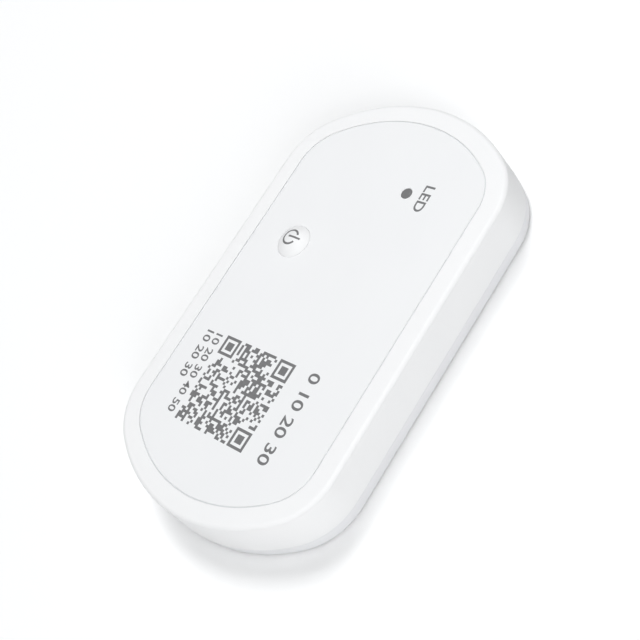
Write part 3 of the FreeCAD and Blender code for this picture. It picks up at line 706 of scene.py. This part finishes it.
plated("memory_chip", "Memory chip", "X", -9.0, 1.97, **MOULDED_CHIP)
plated(
    "crystal_can",
    "Crystal can",
    "Z",
    4.45,
    0.3,
    metal=(0.66, 0.64, 0.60),
    tone=(0.30, 0.28, 0.24),
    shade=(0.24, 0.22, 0.19),
    gloss=(0.4, 0.6),
    depth=0.00001,
    grain_scale=8000.0,
)
CERAMIC_TAN = {
    "tone": (0.36, 0.25, 0.15),
    "shade": (0.30, 0.20, 0.115),
    "gloss": (0.30, 0.48),
    "depth": 0.00001,
    "grain_scale": 12000.0,
}
plated("buffer_capacitor", "Buffer capacitor", "X", -3.2, 1.3, **CERAMIC_TAN)
plated("capacitors", "Capacitor row", "X", 15.8, 0.5, **CERAMIC_TAN)
plated("resistors", "Resistor row", "X", -4.25, 0.5, **MOULDED_CHIP)
plated(
    "chip_antenna",
    "Chip antenna",
    "X",
    0.0,
    2.9,
    tone=(0.80, 0.81, 0.82),
    shade=(0.74, 0.75, 0.77),
    gloss=(0.15, 0.28),
    depth=0.000005,
    grain_scale=7000.0,
)
plated(
    "status_led",
    "Light chip",
    "X",
    WINDOW_PLACE[0],
    0.52,
    tone=(0.84, 0.80, 0.52),
    shade=(0.80, 0.73, 0.38),
    gloss=(0.10, 0.22),
    depth=0.000005,
    grain_scale=7000.0,
    patch_scale=1500.0,
)

# Front shell. The upper half of the case, a hollow white moulding with a leaning side wall,
# a rounded face edge and a shallow recess for the printed film. Inside are a collar under the
# key, two bosses for the board and four that meet the case screws.

FACE = 9.4
WALL_LEAN, FACE_ARC = 0.4, 0.9
RECESS_INSET, RECESS_FLOOR = 3.78, 9.15
WALL, CEILING = 1.94, 7.95
COLLAR_OUTER, COLLAR_INNER, COLLAR_LOW = 4.85, 4.05, 6.55
KEY_HOLE, WINDOW_HOLE = 3.04, 1.02
BOARD_TOP = 4.45
BOARD_SCREW_PLACES = [(-16.6, 20.0), (16.6, 20.0)]
CASE_POST, CASE_POST_HOLE, CASE_POST_END = 2.0, 1.03, 6.8
BOARD_POST, BOARD_POST_HOLE, BOARD_POST_END = 1.9, 0.83, 6.95

shell_white, _, shell_surface = finished(
    "Front white",
    moulded_grain,
    tone=(0.894, 0.894, 0.896),
    shade=(0.884, 0.885, 0.888),
    gloss=(0.44, 0.54),
    depth=0.000008,
)
shell_surface.inputs["Specular IOR Level"].default_value = 0.35

shell = bmesh.new()
tilts = [math.radians(tilt) for tilt in (60, 50, 40, 30, 20, 10, 0)]
face_edge = [
    (
        WALL_LEAN + FACE_ARC * (math.sin(tilts[0]) - math.sin(tilt)),
        FACE - FACE_ARC * (1 - math.cos(tilt)),
    )
    for tilt in tilts
]
outside = outline_walls(
    shell, [(0.0, PARTING)] + face_edge + [(RECESS_INSET, FACE), (RECESS_INSET, RECESS_FLOOR)]
)
inside = outline_walls(shell, [(WALL, CEILING), (WALL, PARTING)])
walls(shell, [inside[-1], outside[0]])
collar_profile = [
    (COLLAR_OUTER, CEILING),
    (COLLAR_OUTER, COLLAR_LOW),
    (COLLAR_INNER, COLLAR_LOW),
    (COLLAR_INNER, CEILING),
    (KEY_HOLE, CEILING),
    (KEY_HOLE, RECESS_FLOOR),
]
collar = round_walls(shell, KEY_PLACE, collar_profile, sides=96)
window_hole = round_walls(
    shell, WINDOW_PLACE, [(WINDOW_HOLE, CEILING), (WINDOW_HOLE, RECESS_FLOOR)], sides=48
)
case_boss = [
    (BOSS_RADIUS, CEILING),
    (BOSS_RADIUS, BOARD_TOP),
    (CASE_POST, BOARD_TOP),
    (CASE_POST, BOSS_TOP),
    (CASE_POST_HOLE, BOSS_TOP),
    (CASE_POST_HOLE, CASE_POST_END),
]
board_boss = [
    (BOARD_POST, CEILING),
    (BOARD_POST, BOARD_TOP),
    (BOARD_POST_HOLE, BOARD_TOP),
    (BOARD_POST_HOLE, BOARD_POST_END),
]
hanging = [round_walls(shell, place, case_boss, sides=48) for place in SCREW_PLACES]
hanging += [round_walls(shell, place, board_boss, sides=48) for place in BOARD_SCREW_PLACES]
for boss in hanging:
    flat(shell, boss[-1])
flat(shell, outside[-1], collar[-1], window_hole[-1])
flat(shell, inside[0], collar[0], window_hole[0], *[boss[0] for boss in hanging])
parting_edge, wall_top, recess_edge = outside[0], outside[1], outside[-2]
rounded(shell, parting_edge, 0.07)
rounded(shell, recess_edge, 0.05)
rounded(shell, wall_top, 0.12)
piece("front_half", shell, shell_white, "case", "shell_white", "front_shell")

# Status window. A smoked clear rod, pushed up into the shell, that carries the status light
# from the board to the face. Its end is polished.

ROD_RADIUS, ROD_TOP = 0.96, 9.34
WINDOW_FLANGE, WINDOW_FLANGE_LOW = 1.7, 7.35
LIGHT_GUIDE_RADIUS, LIGHT_GUIDE_LOW = 0.99, 5.35

smoked, smoked_tree, smoked_surface = material_tree("Smoked clear")
smoke = noise(smoked_tree, object_place(smoked_tree), 1500.0)
smoked_tree.links.new(
    blend_colours(smoked_tree, smoke, (0.175, 0.175, 0.178, 1.0), (0.205, 0.205, 0.208, 1.0)),
    smoked_surface.inputs["Base Color"],
)
smoked_tree.links.new(
    spread(smoked_tree, smoke, 0.3, 0.7, 0.16, 0.28), smoked_surface.inputs["Roughness"]
)
smoked_surface.inputs["Specular IOR Level"].default_value = 0.25
relief_on(smoked_tree, smoked_surface, smoke, 0.2, 0.000005)

window = bmesh.new()
window_profile = [
    (0.0, LIGHT_GUIDE_LOW),
    (LIGHT_GUIDE_RADIUS, LIGHT_GUIDE_LOW),
    (LIGHT_GUIDE_RADIUS, WINDOW_FLANGE_LOW),
    (WINDOW_FLANGE, WINDOW_FLANGE_LOW),
    (WINDOW_FLANGE, CEILING),
    (ROD_RADIUS, CEILING),
    (ROD_RADIUS, ROD_TOP - 0.04),
    (ROD_RADIUS - 0.04, ROD_TOP),
    (0.0, ROD_TOP),
]
whole_turn(window, WINDOW_PLACE, window_profile, sides=64)
piece("status_window", window, smoked, "case", "smoked_clear", "light_pipe")

# Power key. A round white moulding with a domed crown, a flange that keeps it in the case,
# and a stem that presses the switch through a silicone membrane.

FILM_TOP = 9.37
KEY_RADIUS = 2.96
CROWN_TOP = 10.208
CROWN_RADIUS = (KEY_RADIUS**2 + (CROWN_TOP - FILM_TOP) ** 2) / (2 * (CROWN_TOP - FILM_TOP))
CROWN_STEPS = 16
KEY_FLANGE, KEY_FLANGE_TOP, KEY_FLANGE_LOW = 3.9, 7.9, 7.2
STEM_RADIUS = 1.1


def crown_level(off):
    """How high the crown stands this far from the key's middle."""
    return CROWN_TOP - CROWN_RADIUS + math.sqrt(CROWN_RADIUS**2 - off**2)


key_white, _, key_surface = finished(
    "Key white",
    moulded_grain,
    tone=(0.872, 0.873, 0.876),
    shade=(0.864, 0.866, 0.87),
    gloss=(0.48, 0.56),
    depth=0.000004,
    grain_scale=12000.0,
)
key_surface.inputs["Specular IOR Level"].default_value = 0.35

key = bmesh.new()
crown_offs = [KEY_RADIUS * step / CROWN_STEPS for step in range(CROWN_STEPS + 1)]
stem = [
    (KEY_RADIUS, KEY_FLANGE_TOP),
    (KEY_FLANGE, KEY_FLANGE_TOP),
    (KEY_FLANGE, KEY_FLANGE_LOW),
    (STEM_RADIUS, KEY_FLANGE_LOW),
    (STEM_RADIUS, COLLAR_LOW),
    (0.0, COLLAR_LOW),
]
whole_turn(key, KEY_PLACE, [(off, crown_level(off)) for off in crown_offs] + stem)
piece("power_key", key, key_white, "button", "key_white", "button_cap")

MEMBRANE_LOW, MEMBRANE_TOP = 6.2, 6.55
WEB = 0.2
WAVE_START, WAVE_STEP, WAVE_DEPTH = 1.2, 0.3, 0.04

membrane = bmesh.new()
wave = [
    (
        WAVE_START + WAVE_STEP * step,
        MEMBRANE_TOP - WAVE_DEPTH * (1 - math.cos(math.radians(40 * step))),
    )
    for step in range(10)
]
pad_foot = [(0.0, MEMBRANE_LOW), (1.02, MEMBRANE_LOW), (1.1, MEMBRANE_LOW + 0.08)]
web_below = [(off, level - WEB) for off, level in wave]
clamped_rim = [
    (3.95, MEMBRANE_LOW + 0.08),
    (4.02, MEMBRANE_LOW),
    (4.78, MEMBRANE_LOW),
    (COLLAR_OUTER, MEMBRANE_LOW + 0.07),
    (COLLAR_OUTER, MEMBRANE_TOP - 0.07),
    (4.78, MEMBRANE_TOP),
]
membrane_profile = pad_foot + web_below + clamped_rim + wave[::-1] + [(0.0, MEMBRANE_TOP)]
whole_turn(membrane, KEY_PLACE, membrane_profile, sides=72)
key_membrane = piece(
    "key_membrane", membrane, silicone_grey, "case", "silicone_grey", "button_membrane"
)
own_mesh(key_membrane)

# Face film. A matt film, die cut to the recess and stuck down on its floor, with openings
# for the power key and the status window. Its cut edge and adhesive below the film's top are
# painted grey: adhesive colour and painted shade for the shadow in the narrow gap round it.

ADHESIVE_TOP = 9.29
# Grey of the adhesive, darkened as painted shade for the shadow in the gap round the film.
ADHESIVE_AND_GAP_SHADE_GREY = (0.70, 0.71, 0.72, 1.0)
ADHESIVE_INSET, FILM_INSET, FILM_RING = 3.81, 3.98, 4.2
KEY_OPENING, KEY_RING = 2.99, 3.2
WINDOW_OPENING, WINDOW_RING = 0.98, 1.2

film_white, film_tree, film_surface = finished(
    "Film white",
    moulded_grain,
    tone=(0.862, 0.866, 0.872),
    shade=(0.853, 0.857, 0.864),
    gloss=(0.5, 0.6),
    depth=0.000004,
    grain_scale=14000.0,
)
film_surface.inputs["Specular IOR Level"].default_value = 0.3
film_level = add_node(film_tree, "SeparateXYZ", {0: object_place(film_tree)}).outputs["Z"]
# Painted shade: below the film's top, the cut edge and adhesive take a grey that stands in for the
# gap's shadow.
above_adhesive_and_gap_shade = spread(
    film_tree, film_level, (ADHESIVE_TOP + 0.002) * MM, (ADHESIVE_TOP + 0.01) * MM, 0.0, 1.0
)
film_colour = film_surface.inputs["Base Color"].links[0].from_socket
film_tree.links.new(
    blend_colours(film_tree, above_adhesive_and_gap_shade, ADHESIVE_AND_GAP_SHADE_GREY, film_colour),
    film_surface.inputs["Base Color"],
)

film = bmesh.new()
film_edge = outline_walls(
    film,
    [
        (ADHESIVE_INSET, RECESS_FLOOR),
        (ADHESIVE_INSET, ADHESIVE_TOP),
        (FILM_INSET, ADHESIVE_TOP),
        (FILM_INSET, FILM_TOP),
        (FILM_RING, FILM_TOP),
    ],
)
key_opening = round_walls(
    film,
    KEY_PLACE,
    [(KEY_OPENING, RECESS_FLOOR), (KEY_OPENING, FILM_TOP), (KEY_RING, FILM_TOP)],
    sides=96,
)
window_opening = round_walls(
    film,
    WINDOW_PLACE,
    [(WINDOW_OPENING, RECESS_FLOOR), (WINDOW_OPENING, FILM_TOP), (WINDOW_RING, FILM_TOP)],
    sides=48,
)
for end in (0, -1):
    flat(film, film_edge[end], key_opening[end], window_opening[end])
rounded(film, film_edge[3], 0.02)
rounded(film, key_opening[1] + window_opening[1], 0.02)
piece("face_film", film, film_white, "case", "label_film", "front_label")

# Print on the film and the key. Grey ink, a hundredth of a millimetre thick: a square block of
# chance modules with three corner squares, rows of plain numbers, the word beside the status
# window, and the usual sign for power on the key.

INK, INK_SUNK = 0.012, 0.002
MODULES, CORNER_MODULES = 33, 7
BLOCK_PLACE = (-2.56, -17.72)
BLOCK_WIDTH = 15.4

ink_grey, _, ink_surface = finished(
    "Ink grey",
    moulded_grain,
    tone=(0.178, 0.178, 0.181),
    shade=(0.201, 0.201, 0.204),
    gloss=(0.42, 0.55),
    depth=0.000002,
    grain_scale=15000.0,
    patch_scale=4000.0,
)
ink_surface.inputs["Specular IOR Level"].default_value = 0.15


def thickened(bm):
    """Gives a flat print its thickness."""
    raised = bmesh.ops.extrude_face_region(bm, geom=list(bm.faces), use_keep_orig=True)["geom"]
    tops = [part for part in raised if isinstance(part, bmesh.types.BMVert)]
    bmesh.ops.translate(bm, verts=tops, vec=(0.0, 0.0, INK))


def in_corner_square(column, row):
    """Whether a module belongs to a corner square, and whether it is inked there."""
    last = MODULES - CORNER_MODULES
    for corner_column, corner_row in ((0, last), (last, last), (last, 0)):
        across, along = column - corner_column, row - corner_row
        if -1 <= across <= CORNER_MODULES and -1 <= along <= CORNER_MODULES:
            off = max(abs(across - 3), abs(along - 3))
            return True, off in (0, 1, 3)
    return False, False


def part_at_points(bm):
    """Parts modules that meet only at a point, so that each patch of ink has a closed skin."""
    for vert in list(bm.verts):
        if len(vert.link_faces) == 2 and not any(
            len(edge.link_faces) == 2 for edge in vert.link_edges
        ):
            for corner in bmesh.utils.vert_separate(vert, list(vert.link_edges)):
                corner.co = corner.co.lerp(corner.link_faces[0].calc_center_median(), 0.02)


block = bmesh.new()
bmesh.ops.create_grid(block, x_segments=MODULES, y_segments=MODULES, size=BLOCK_WIDTH / 2)
chance = random.Random(11)
bare = []
for face in block.faces:
    spot = face.calc_center_median()
    column = int((spot.x / BLOCK_WIDTH + 0.5) * MODULES)
    row = int((spot.y / BLOCK_WIDTH + 0.5) * MODULES)
    square, inked = in_corner_square(column, row)
    if not (inked if square else chance.random() < 0.5):
        bare.append(face)
bmesh.ops.delete(block, geom=bare, context="FACES")
part_at_points(block)
bmesh.ops.translate(block, verts=block.verts, vec=(BLOCK_PLACE[0], BLOCK_PLACE[1], FILM_TOP))
thickened(block)
piece("print_block", block, ink_grey, "case", "label_film")


def printed_line(name, words, foot_x, head_x, start_y, stop_y):
    """A line of characters that reads along -Y, between these ends, feet and heads."""
    curve = bpy.data.curves.new(name, "FONT")
    curve.body = words
    curve.resolution_u = 6
    curve.offset = 0.014
    drawn = bpy.data.objects.new(name, curve)
    scene.collection.objects.link(drawn)
    bpy.context.view_layer.update()
    graph = bpy.context.evaluated_depsgraph_get()
    mesh = bpy.data.meshes.new_from_object(drawn.evaluated_get(graph))
    bpy.data.objects.remove(drawn)
    bpy.data.curves.remove(curve)
    line = bmesh.new()
    line.from_mesh(mesh)
    bpy.data.meshes.remove(mesh)
    bmesh.ops.remove_doubles(line, verts=line.verts, dist=0.00001)
    left = min(vert.co.x for vert in line.verts)
    right = max(vert.co.x for vert in line.verts)
    foot = min(vert.co.y for vert in line.verts)
    head = max(vert.co.y for vert in line.verts)
    bmesh.ops.translate(line, verts=line.verts, vec=(-left, -foot, 0.0))
    size = ((start_y - stop_y) / (right - left), (head_x - foot_x) / (head - foot), 1.0)
    bmesh.ops.scale(line, verts=line.verts, vec=size)
    quarter_turn = Matrix.Rotation(-math.pi / 2, 3, "Z")
    bmesh.ops.rotate(line, verts=line.verts, cent=(0, 0, 0), matrix=quarter_turn)
    bmesh.ops.translate(line, verts=line.verts, vec=(foot_x, start_y, FILM_TOP))
    thickened(line)
    piece(name, line, ink_grey, "case", "label_film")


for name, words, foot_x, head_x, start_y, stop_y in (
    ("print_light_word", "LED", 7.81, 9.63, 24.34, 19.57),
    ("print_large_numbers", "0 10 20 30", 8.40, 10.48, -9.95, -25.58),
    ("print_small_numbers", "10 20 30 40 50", -12.69, -11.20, -10.42, -24.88),
    ("print_short_numbers", "10 20 30", -14.79, -13.25, -10.46, -19.06),
):
    printed_line(name, words, foot_x, head_x, start_y, stop_y)

SIGN_PLACE = (-10.13, 8.84)
SIGN_RADIUS = 1.335
STROKE = 0.34
GAP_HALF = math.radians(28)
BAR_LENGTH, BAR_PLACE = 2.39, (0.805, 0.08)

sign = bmesh.new()
gap_side = Vector((math.cos(GAP_HALF), math.sin(GAP_HALF), 0.0))
inner_end = bmesh.ops.create_vert(sign, co=gap_side * (SIGN_RADIUS - STROKE / 2))["vert"]
outer_end = bmesh.ops.extrude_vert_indiv(sign, verts=inner_end)["verts"]
bmesh.ops.translate(sign, verts=outer_end, vec=gap_side * STROKE)
bmesh.ops.spin(
    sign,
    geom=list(sign.verts) + list(sign.edges),
    cent=(0, 0, 0),
    axis=(0, 0, 1),
    angle=2 * (math.pi - GAP_HALF),
    steps=56,
)
bar = bmesh.ops.create_grid(sign, x_segments=12, y_segments=2, size=0.5)["verts"]
bmesh.ops.scale(sign, verts=bar, vec=(BAR_LENGTH, STROKE, 1.0))
bmesh.ops.translate(sign, verts=bar, vec=(*BAR_PLACE, 0.0))
bmesh.ops.translate(sign, verts=sign.verts, vec=(SIGN_PLACE[0], SIGN_PLACE[1], 0.0))
thickened(sign)
for vert in sign.verts:
    off = math.hypot(vert.co.x - KEY_PLACE[0], vert.co.y - KEY_PLACE[1])
    vert.co.z += crown_level(off) - INK_SUNK
piece("print_power_sign", sign, ink_grey, "button", "label_film")

# Screws. Zinc-plated pan-head screws with a cross recess and a rolled thread: four come through
# the rear cover into the front shell's bosses, and two smaller ones hold the board.

screw_steel, _, screw_surface = finished(
    "Screw steel",
    rolled_sheet,
    tone=(0.58, 0.59, 0.61),
    shade=(0.47, 0.48, 0.50),
    gloss=(0.26, 0.44),
    depth=0.00001,
    stretch=(4000.0, 4000.0, 1200.0),
)
screw_surface.inputs["Metallic"].default_value = 1.0

HEAD_CURVE = ((0.38, 0.0), (0.20, 0.04), (0.08, 0.13), (0.01, 0.26), (0.0, 0.38))
CROSS_ARM, CROSS_DEPTH = 0.225, 0.5
PLAIN_SHANK, THREAD_PITCH, THREAD_CORE = 0.2, 0.4, 0.82
UNTHREADED = 0.9


def screws(name, places, low, head, shank, reach, stands_for):
    """Screws whose heads lie between low and their seat, with the thread reaching up from it."""
    bm = bmesh.new()
    head_radius, head_height = head
    seat = low + head_height
    profile = [(head_radius - inward, low + rise) for inward, rise in HEAD_CURVE]
    profile += [(head_radius, seat), (shank, seat), (shank, seat + PLAIN_SHANK)]
    core = shank * THREAD_CORE
    for turn in range(int((reach - UNTHREADED) / THREAD_PITCH)):
        level = seat + PLAIN_SHANK + THREAD_PITCH * turn
        profile += [(core, level + 0.12), (core, level + 0.2), (shank, level + THREAD_PITCH)]
    profile += [(shank * 0.5, seat + reach), (0.0, seat + reach)]
    for place in places:
        turned = whole_turn(bm, place, profile, sides=40)
        rim = [edge for vert in turned for edge in vert.link_edges if edge.is_boundary]
        cross = bmesh.ops.create_grid(bm, x_segments=3, y_segments=3, size=1.0)["verts"]
        for vert in cross:
            vert.co.x = math.copysign(1.0 if abs(vert.co.x) > 0.5 else CROSS_ARM, vert.co.x)
            vert.co.y = math.copysign(1.0 if abs(vert.co.y) > 0.5 else CROSS_ARM, vert.co.y)
        faces = once(face for vert in cross for face in vert.link_faces)
        corners = [
            face
            for face in faces
            if min(abs(face.calc_center_median().x), abs(face.calc_center_median().y)) > 0.3
        ]
        bmesh.ops.delete(bm, geom=corners, context="FACES")
        faces = [face for face in faces if face.is_valid]
        bmesh.ops.translate(bm, verts=[vert for vert in cross if vert.is_valid], vec=(*place, low))
        floor_of = bmesh.ops.extrude_face_region(bm, geom=faces)["geom"]
        sunk = [part for part in floor_of if isinstance(part, bmesh.types.BMVert)]
        bmesh.ops.translate(bm, verts=sunk, vec=(0.0, 0.0, CROSS_DEPTH))
        kept = [vert for vert in cross if vert.is_valid]
        lip = [edge for vert in kept for edge in vert.link_edges if edge.is_boundary]
        flat(bm, once(rim), once(lip))
    piece(name, bm, screw_steel, "case", "screw_steel", stands_for)


screws(
    "rear_screws",
    SCREW_PLACES,
    low=0.2,
    head=(1.75, 1.1),
    shank=1.0,
    reach=5.2,
    stands_for="case_screws",
)
screws(
    "inner_screws",
    BOARD_SCREW_PLACES,
    low=2.75,
    head=(1.4, 0.9),
    shank=0.8,
    reach=3.0,
    stands_for="board_screws",
)

# View and light. The camera stands where the photograph was taken, above the right front end.
# One soft box hangs overhead, one stands behind the far end, and two fill from the camera's
# side, the lower one kept out of mirror images. The white floor runs out into a white backdrop.

AIM = Vector((2.179, -1.421, 7.066)) * MM
DISTANCE = 0.178044
LAMP_DISTANCE, LAMP_COLOUR = 1.2, (0.985, 0.993, 1.0)
SKY = (0.97, 0.985, 1.0, 1.0)
AZIMUTH, ELEVATION, ROLL = math.radians(71.534), math.radians(47.159), math.radians(-43.664)

lens = bpy.data.cameras.new("Camera")
lens.lens = 65.095
lens.sensor_width = 36.0
lens.clip_start = 0.01
camera = bpy.data.objects.new("Camera", lens)
scene.collection.objects.link(camera)
away = Vector(
    (
        math.sin(AZIMUTH) * math.cos(ELEVATION),
        -math.cos(AZIMUTH) * math.cos(ELEVATION),
        math.sin(ELEVATION),
    )
)
camera.location = AIM + away * DISTANCE
camera.rotation_mode = "QUATERNION"
camera.rotation_quaternion = away.to_track_quat("Z", "Y") @ Quaternion((0, 0, 1), ROLL)
scene.camera = camera


def soft_box(name, azimuth, elevation, width, power):
    """A square soft light that looks at the case from this side, counted from +X towards +Y."""
    light = bpy.data.lights.new(name, "AREA")
    light.shape = "SQUARE"
    light.size = width
    light.energy = power
    light.color = LAMP_COLOUR
    made = bpy.data.objects.new(name, light)
    scene.collection.objects.link(made)
    level = math.cos(math.radians(elevation))
    towards = Vector(
        (
            level * math.cos(math.radians(azimuth)),
            level * math.sin(math.radians(azimuth)),
            math.sin(math.radians(elevation)),
        )
    )
    made.location = towards * LAMP_DISTANCE
    made.rotation_mode = "QUATERNION"
    made.rotation_quaternion = towards.to_track_quat("Z", "Y")
    return made


soft_box("Overhead box", azimuth=0.0, elevation=89.0, width=0.3, power=3.8)
soft_box("Back box", azimuth=125.0, elevation=62.0, width=0.45, power=8.2)
soft_box("Front box", azimuth=-45.0, elevation=45.0, width=0.5, power=3.1)
side_box = soft_box("Side box", azimuth=-30.0, elevation=22.0, width=0.6, power=5.4)
side_box.visible_glossy = False

world = bpy.data.worlds.new("Studio")
world.use_nodes = True
backdrop = world.node_tree.nodes["Background"]
backdrop.inputs["Color"].default_value = SKY
seen = add_node(world.node_tree, "LightPath", {}).outputs["Is Camera Ray"]
world.node_tree.links.new(
    spread(world.node_tree, seen, 0.0, 1.0, 0.02, 1.0), backdrop.inputs["Strength"]
)
scene.world = world

floor_bm = bmesh.new()
bmesh.ops.create_grid(floor_bm, x_segments=1, y_segments=1, size=3.0)
floor_mesh = bpy.data.meshes.new("Floor")
floor_bm.to_mesh(floor_mesh)
floor_bm.free()
floor = bpy.data.objects.new("Floor", floor_mesh)
scene.collection.objects.link(floor)
floor_white, floor_tree, floor_surface = material_tree("Floor white")
floor_surface.inputs["Base Color"].default_value = (0.98, 0.98, 0.98, 1.0)
floor_surface.inputs["Roughness"].default_value = 0.9
floor_surface.inputs["Specular IOR Level"].default_value = 0.1
floor_surface.inputs["Emission Color"].default_value = SKY
from_case = add_node(
    floor_tree, "VectorMath", {0: object_place(floor_tree)}, operation="LENGTH"
).outputs["Value"]
floor_tree.links.new(
    spread(floor_tree, from_case, 0.25, 1.0, 0.0, 0.95), floor_surface.inputs["Emission Strength"]
)
floor_mesh.materials.append(floor_white)
scene.view_settings.view_transform = "Standard"
